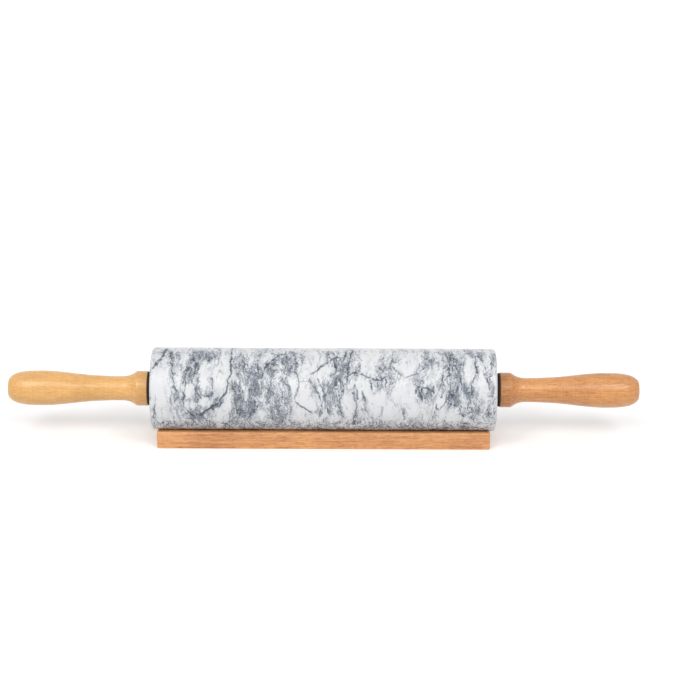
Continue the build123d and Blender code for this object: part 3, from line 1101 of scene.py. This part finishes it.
def marble_streaks(bench, places, grey):
    """The tone of the smoky streaks: broad ones, fine ones and dust."""
    tone = bench.math("MULTIPLY", bench.spread(grey, 0.20, 1.0), GREY_TONE)
    for followed, size, body, rim in STREAK_SETS:
        streaks = bench.place(feathers, Vector=places[followed], Size=size, Grey=grey)
        tone = bench.plus(tone, (streaks["Body"], body), (streaks["Rim"], rim))
    return tone


def marble_curls(bench, places, grey, tone):
    """The tone with the curls added: they lie where the stone is grey, and crowd low on its front as painted
    shade.
    """
    turned = bench.parts(places["label"])["Y"]
    # Painted shade: more curls low on the front, above the cradle
    low = bench.math("MULTIPLY", bench.spread(turned, -20, -9, 1.7, 0.0), bench.spread(turned, -62, -40))
    lined_and_low_shade = bench.math("MAXIMUM", bench.spread(grey, 0.0, 0.55), low)
    stretched = bench.vector("MULTIPLY", places["bent"], (1, 0.6, 0.6))
    for size, width, share in CURL_SETS:
        curl = bench.place(curls, Vector=stretched, Size=size, Width=width)["Line"]
        tone = bench.plus(tone, (bench.math("MULTIPLY", curl, lined_and_low_shade), share))
    return tone


print("streaks in", len(STREAK_SETS), "sizes, curls in", len(CURL_SETS), "sizes")

# %% Draw the cracks
CRACK_TONE = 0.85
HALO_TONE = 0.08
# How far from a crack its line starts to fade, where it ends and where its halo ends, in widths
LINE_FADES, LINE_ENDS, HALO_ENDS = 0.2, 0.95, 4.0


def crack_distance(bench, place, course):
    """How far each place is from a crack that runs through the places of its course."""
    gap = FAR_AWAY
    for start, end in zip(course, course[1:]):
        reach = Vector((*end, 0)) - Vector((*start, 0))
        inputs = {"So_Far": gap, "Start": (*start, 0), "Reach": reach}
        inputs["Scale"] = reach / reach.length_squared
        gap = bench.place(stone_crack, Vector=place, **inputs)["Distance"]
    return gap


def crack_lines(bench, place):
    """All the cracks at each place: a crisp line and a soft grey surround."""
    lines, halos = 0.0, 0.0
    for width, strength, course in STONE_CRACKS:
        gap = crack_distance(bench, place, course)
        line = bench.spread(gap, LINE_FADES * width, LINE_ENDS * width, strength, 0.0)
        lines = bench.math("MAXIMUM", lines, line)
        halo = bench.spread(gap, 0.0, HALO_ENDS * width, strength, 0.0)
        halos = bench.math("MAXIMUM", halos, halo)
    return lines, halos


def marble_cracks(bench, places, tone):
    """The tone with the cracks added, each fainter here and there along its way."""
    line, halo = crack_lines(bench, places["shaken"])
    broken = bench.spread(bench.cloud(places["own"], 3.5, detail=2), 0.36, 0.58, 0.55, 1.0)
    return bench.plus(tone, (bench.math("MULTIPLY", line, broken), CRACK_TONE), (halo, HALO_TONE))


print("stretches of crack:", sum(len(course) - 1 for width, strength, course in STONE_CRACKS))

# %% Mix the marble
WHITE_STONE = (0.695, 0.705, 0.715)
PALE_GREY = (0.49, 0.51, 0.54)
BLUE_GREY = (0.215, 0.24, 0.28)
DARK_VEIN = (0.065, 0.075, 0.09)
OLIVE_STAIN = (0.34, 0.31, 0.22)
# The brown-green stain, placed as a patch is: middle, half size and strength
STAIN_MIDDLE, STAIN_HALF, STAIN_STRENGTH = (-64, 4), (2.6, 18), 0.4
STONE_STOPS = ((0.05, WHITE_STONE), (0.30, PALE_GREY), (0.62, BLUE_GREY), (1.0, DARK_VEIN))
HAZE_SIZE, HAZE_TONE = 5, 0.20
PIT_SIZE, PIT_TONE, PIT_DEPTH = 0.9, 0.3, 0.1 * MM
STONE_ROUGHNESS = 0.52
WORN_STONE_TONE, WORN_STONE_ROUGHNESS = 0.12, 0.15


def marble_stain(bench, places):
    """Where rust has crept into the stone, broken up into specks."""
    inputs = {"Middle": (*STAIN_MIDDLE, 0), "Strength": STAIN_STRENGTH}
    inputs["Across"] = (1 / STAIN_HALF[0], 0, 0)
    inputs["Along"] = (0, 1 / STAIN_HALF[1], 0)
    rusty = bench.place(stone_patch, Vector=places["shaken"], **inputs)["Mask"]
    specks = bench.spread(bench.cloud(places["own"], 1.4, detail=3), 0.42, 0.60)
    return bench.math("MULTIPLY", rusty, specks)


def mix_marble():
    """Polished white marble with blue-grey streaks, thin dark cracks and tiny pits."""
    material, bench, shader = new_finish("veined_marble")
    places = marble_places(bench)
    grey = marble_grey(bench, places)
    tone = marble_curls(bench, places, grey, marble_streaks(bench, places, grey))
    haze = bench.spread(bench.cloud(places["streaked"], HAZE_SIZE, detail=4, roughness=0.6), 0.40, 0.70)
    pits = bench.cloud(places["own"], PIT_SIZE, detail=3, roughness=0.6)
    tone = bench.plus(tone, (haze, HAZE_TONE), (bench.centred(pits), PIT_TONE))
    tone = marble_cracks(bench, places, tone)
    worn = bench.place(edge_wear, Vector=places["own"], Size=2.5)["Mask"]
    tone = bench.math("SUBTRACT", tone, bench.math("MULTIPLY", worn, WORN_STONE_TONE))
    colour = bench.colours(tone, STONE_STOPS)
    colour = bench.blend(marble_stain(bench, places), colour, (*OLIVE_STAIN, 1))
    bench.feed(shader["Base Color"], colour)
    change = bench.place(smears, Vector=places["own"], Size=14.0, Amount=0.10)["Change"]
    rough = bench.plus(change, (worn, WORN_STONE_ROUGHNESS))
    bench.feed(shader["Roughness"], bench.math("ADD", rough, STONE_ROUGHNESS))
    bump = bench.node("ShaderNodeBump", {"Height": pits, "Strength": 0.12, "Distance": PIT_DEPTH})
    bench.feed(shader["Normal"], bump.outputs[0])
    shader["Specular IOR Level"].default_value = 0.25
    shader["Coat Weight"].default_value = 0.4
    shader["Coat Roughness"].default_value = 0.25
    return material


veined_marble = mix_marble()
print("veined marble:", len(veined_marble.node_tree.nodes), "nodes")

# %% [markdown]
# ## The beech
#
# Beech is a plain, close wood. Its growth rings show as soft bands that run along the grain,
# and its rays show as thousands of short dark dashes. The rings are circles about a pith that
# lies outside the piece, a little tilted, so a turned handle cuts them into long slanting
# flames, and the cut end of the cradle shows them as arcs. The dashes are noise, stretched
# along the grain and cut off at a threshold. The tool has left faint lines across the grain,
# deeper on the turned handles than on the planed board, and a thin clear lacquer lies over
# it all. The lacquer is the shader's coat, a little thinner on the dashes and on the lines.

# %% Group: beech figure
def make_beech_figure():
    """Ring is the slow band of the growth rings, Dash the dark ray flecks, Fibre the fine lines."""
    inputs = {"Pith": (0, 30, 20), "Ring Width": 2.4, "Tilt": 0.05}
    group, bench, given, result = new_group("beech_figure", inputs, ("Ring", "Dash", "Fibre", "Cloud"))
    wood = given["Vector"]
    lean = bench.math("MULTIPLY", bench.parts(wood)["X"], given["Tilt"])
    grain = bench.vector("MULTIPLY", wood, (0.08, 1, 1))
    wobble = bench.vector("MULTIPLY", bench.bend(grain, 9, detail=3), (0, 1, 1))
    place = bench.vector("ADD", bench.vector("SUBTRACT", wood, given["Pith"]), bench.joined(0.0, lean, lean))
    place = bench.pushed(bench.vector("MULTIPLY", place, (0, 1, 1)), (wobble, 3.0))
    turns = bench.math("FRACT", bench.math("DIVIDE", bench.length(place), given["Ring Width"]))
    late = bench.math("MULTIPLY", bench.spread(turns, 0.35, 0.92), bench.spread(turns, 0.93, 1.0, 1.0, 0.0))
    bench.feed(result["Ring"], late)
    dashes = bench.cloud(bench.vector("MULTIPLY", wood, (0.25, 1, 1)), 0.72, detail=2)
    bench.feed(result["Dash"], bench.spread(dashes, 0.55, 0.66))
    fibres = bench.cloud(bench.vector("MULTIPLY", wood, (0.11, 1, 1)), 0.95, detail=3)
    bench.feed(result["Fibre"], fibres)
    cloud = bench.cloud(bench.vector("MULTIPLY", wood, (0.35, 1, 1)), 14, detail=3)
    bench.feed(result["Cloud"], cloud)
    return group


beech_figure = make_beech_figure()
print("beech figure:", len(beech_figure.nodes), "nodes")

# %% Group: end grain and dark stretch
def make_end_grain():
    """One where the surface faces along the grain, as on a sawn end, and zero along the sides."""
    group, bench, given, result = new_group("end_grain", {}, ("Mask",))
    facing = bench.parts(given["Vector"])["X"]
    bench.feed(result["Mask"], bench.spread(bench.math("ABSOLUTE", facing), 0.75, 1.0))
    return group


def make_dark_stretch():
    """A stretch of darker wood about a middle along the grain, which fades out at its reach."""
    inputs = {"Middle": 0.0, "Reach": 12.0, "Depth": 0.3}
    group, bench, given, result = new_group("dark_stretch", inputs, ("Depth",))
    along = bench.parts(given["Vector"])["X"]
    gap = bench.math("ABSOLUTE", bench.math("SUBTRACT", along, given["Middle"]))
    inner = bench.math("MULTIPLY", given["Reach"], 0.3)
    bench.feed(result["Depth"], bench.spread(gap, inner, given["Reach"], given["Depth"], 0.0))
    return group


end_grain = make_end_grain()
dark_stretch = make_dark_stretch()
print("end grain:", len(end_grain.nodes), "nodes, dark stretch:", len(dark_stretch.nodes), "nodes")

# %% Tone, gloss and relief of the beech
BASE_TONE = 0.28
CLOUD_TONE = 1.1
SAWN_TONE = 0.25
WORN_WOOD_TONE = 0.22
BEECH_ROUGHNESS = 0.42
DULLING = 0.2
LACQUER_WEIGHT = 0.95
LACQUER_ROUGHNESS = 0.28
TOOL_LINE_SPACING = 1.1
TOOL_LINE_TONE = 0.15
DASH_THINNING = 0.35
DASH_SINK = -0.6
GRAIN_DEPTH = 0.1 * MM


def beech_tone(bench, figure, weights, cut, dark):
    """How deep the wood's tone is: its figure, the tool's lines and a darker stretch."""
    rings, flecks, fibres = weights
    tone = bench.plus(bench.math("MULTIPLY", figure["Ring"], rings), (figure["Dash"], flecks))
    tone = bench.plus(tone, (bench.centred(figure["Fibre"]), fibres))
    tone = bench.plus(tone, (bench.centred(figure["Cloud"]), CLOUD_TONE))
    tone = bench.math("ADD", bench.math("ADD", tone, cut), dark)
    return bench.math("ADD", tone, BASE_TONE)


def beech_relief(bench, figure, marks, turned):
    """The surface's fine relief: sunken dashes, raised fibres and the tool's lines."""
    height = bench.math("ADD", bench.math("MULTIPLY", figure["Dash"], DASH_SINK), figure["Fibre"])
    height = bench.plus(height, (marks, turned))
    inputs = {"Height": height, "Strength": 0.35, "Distance": GRAIN_DEPTH}
    return bench.node("ShaderNodeBump", inputs).outputs[0]


def lacquer(bench, figure, marks, turned):
    """How much lacquer lies on the wood: less on the tool's lines and on the dashes."""
    thin = bench.math("MULTIPLY", bench.spread(marks, 0.35, 0.65), TOOL_LINE_TONE * turned)
    thin = bench.plus(thin, (figure["Dash"], DASH_THINNING))
    return bench.math("SUBTRACT", LACQUER_WEIGHT, thin)


print("lacquer weight", LACQUER_WEIGHT, "roughness", LACQUER_ROUGHNESS)

# %% Mix the beech of the left handle
def mix_beech(name, tones, shift, pith, ring_width, tilt, weights, turned, stretch):
    """Lacquered beech: a pale and a deep tone, and where the piece was cut from the tree.

    Weights are how plain its rings, its ray dashes and its fibres are, and turned is how deep
    the tool's lines. Stretch is the middle, reach and depth of a stretch of darker wood.
    """
    material, bench, shader = new_finish(name)
    own = bench.millimetres()
    spot = bench.vector("ADD", own, shift)
    figure = bench.place(beech_figure, Vector=spot, Pith=pith, Ring_Width=ring_width, Tilt=tilt)
    marks = bench.place(tool_lines, Vector=spot, Spacing=TOOL_LINE_SPACING)["Height"]
    cut = bench.math("MULTIPLY", bench.centred(marks), TOOL_LINE_TONE * turned)
    middle, reach, depth = stretch
    dark = bench.place(dark_stretch, Vector=own, Middle=middle, Reach=reach, Depth=depth)["Depth"]
    facing = bench.node("ShaderNodeTexCoord").outputs["Normal"]
    sawn = bench.place(end_grain, Vector=facing)["Mask"]
    worn = bench.place(edge_wear, Vector=spot, Size=3.0)["Mask"]
    tone = beech_tone(bench, figure, weights, cut, dark)
    tone = bench.plus(tone, (sawn, SAWN_TONE))
    tone = bench.math("SUBTRACT", tone, bench.math("MULTIPLY", worn, WORN_WOOD_TONE))
    pale, deep = tones
    bench.feed(shader["Base Color"], bench.colours(tone, ((0.0, pale), (1.0, deep))))
    change = bench.place(smears, Vector=spot, Size=9.0, Amount=0.12)["Change"]
    dull = bench.math("MULTIPLY", bench.math("MAXIMUM", sawn, worn), DULLING)
    rough = bench.math("ADD", bench.math("ADD", change, BEECH_ROUGHNESS), dull)
    bench.feed(shader["Roughness"], rough)
    bench.feed(shader["Normal"], beech_relief(bench, figure, marks, turned))
    bench.feed(shader["Coat Weight"], lacquer(bench, figure, marks, turned))
    shader["Coat Roughness"].default_value = LACQUER_ROUGHNESS
    print(name, len(material.node_tree.nodes), "nodes")
    return material


LEFT_CUT = {
    "tones": ((0.81, 0.445, 0.138), (0.48, 0.215, 0.040)),
    "shift": (40, 5, 0),
    "pith": (0, 25, 150),
    "ring_width": 2.8,
    "tilt": 0.28,
    "weights": (0.07, 0.14, 1.1),
    "turned": 3.2,
    "stretch": (-132, 12, 0.0),
}
beech_left = mix_beech("beech_left", **LEFT_CUT)

# %% Mix the beech of the right handle and of the cradle
RIGHT_CUT = {
    "tones": ((0.70, 0.310, 0.088), (0.36, 0.116, 0.016)),
    "shift": (-300, 60, 20),
    "pith": (0, 30, 180),
    "ring_width": 2.0,
    "tilt": 0.05,
    "weights": (0.10, 0.34, 1.2),
    "turned": 2.8,
    "stretch": (132, 14, 0.35),
}
BOARD_CUT = {
    "tones": ((0.79, 0.370, 0.130), (0.44, 0.160, 0.040)),
    "shift": (0, 0, 0),
    "pith": (0, 60, -150),
    "ring_width": 2.8,
    "tilt": 0.02,
    "weights": (0.14, 0.35, 2.0),
    "turned": 0.8,
    "stretch": (-82, 26, 0.28),
}
beech_right = mix_beech("beech_right", **RIGHT_CUT)
beech_board = mix_beech("beech_board", **BOARD_CUT)

# %% [markdown]
# ## Black nylon, steel and brass
#
# The bearings and their washers are moulded black nylon, dull with a faint grain. Where a
# washer shows between the barrel and a collar, its black also paints the shade of that narrow
# gap. The rod and the nuts are drawn steel, and the sleeves in the handles are turned brass.
# Little of them shows, but each keeps its own finish for when the pin is taken apart. Their
# shapes in the frame are right, so only their materials change.

# %% Mix the nylon and the metals
DARKER = 0.75
TOOL_LINE_DEPTH = 0.03 * MM


def mix_turned(name, colour, roughness, metallic, spacing):
    """A plain turned or moulded material: its own colour, uneven gloss and fine tool lines."""
    material, bench, shader = new_finish(name)
    spot = bench.millimetres()
    darker = tuple(DARKER * part for part in colour)
    blotches = bench.place(mottle, Vector=spot, Size=1.2)["Mask"]
    bench.feed(shader["Base Color"], bench.blend(blotches, (*darker, 1), (*colour, 1)))
    change = bench.place(smears, Vector=spot, Size=5.0, Amount=0.15)["Change"]
    bench.feed(shader["Roughness"], bench.math("ADD", change, roughness))
    height = bench.place(tool_lines, Vector=spot, Spacing=spacing)["Height"]
    inputs = {"Height": height, "Strength": 0.3, "Distance": TOOL_LINE_DEPTH}
    bench.feed(shader["Normal"], bench.node("ShaderNodeBump", inputs).outputs[0])
    shader["Metallic"].default_value = metallic
    print(name, len(material.node_tree.nodes), "nodes")
    return material


# The black of the washers also paints the shade in the gap between the barrel and each collar
moulded_nylon_gap_shade = mix_turned("nylon_and_gap_shade", (0.020, 0.012, 0.009), 0.75, 0.0, 0.8)
drawn_steel = mix_turned("drawn_steel", (0.56, 0.56, 0.57), 0.32, 1.0, 0.3)
turned_brass = mix_turned("turned_brass", (0.76, 0.56, 0.24), 0.30, 1.0, 0.4)

# %% [markdown]
# ## Dress the pieces
#
# Each new mesh gets its finish, rides on the body of the piece that it stands for and hides
# it. The small pieces keep their packed meshes and only change their material.

# %% Put the finishes on
def dress(piece, material, node, body):
    """A new mesh in the place of a packed piece."""
    piece.data.materials.append(material)
    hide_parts(node)
    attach(piece, body)


dress(stone_barrel, veined_marble, "marble_barrel", "roller")
dress(wood_handle_left, beech_left, "handle_left", "grips")
dress(wood_handle_right, beech_right, "handle_right", "grips")
dress(cradle_board, beech_board, "cradle", "stand")

SMALL_PIECES = {
    moulded_nylon_gap_shade: ("bearing_bush_left", "bearing_bush_right", "thrust_washer_left", "thrust_washer_right"),
    drawn_steel: ("axle_rod", "lock_nut_left", "lock_nut_right"),
    turned_brass: ("threaded_insert_left", "threaded_insert_right"),
}
for material, names in SMALL_PIECES.items():
    for name in names:
        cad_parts[name].material_slots[0].material = material
    print(material.name, "on", len(names), "pieces")

# %% [markdown]
# ## Finish
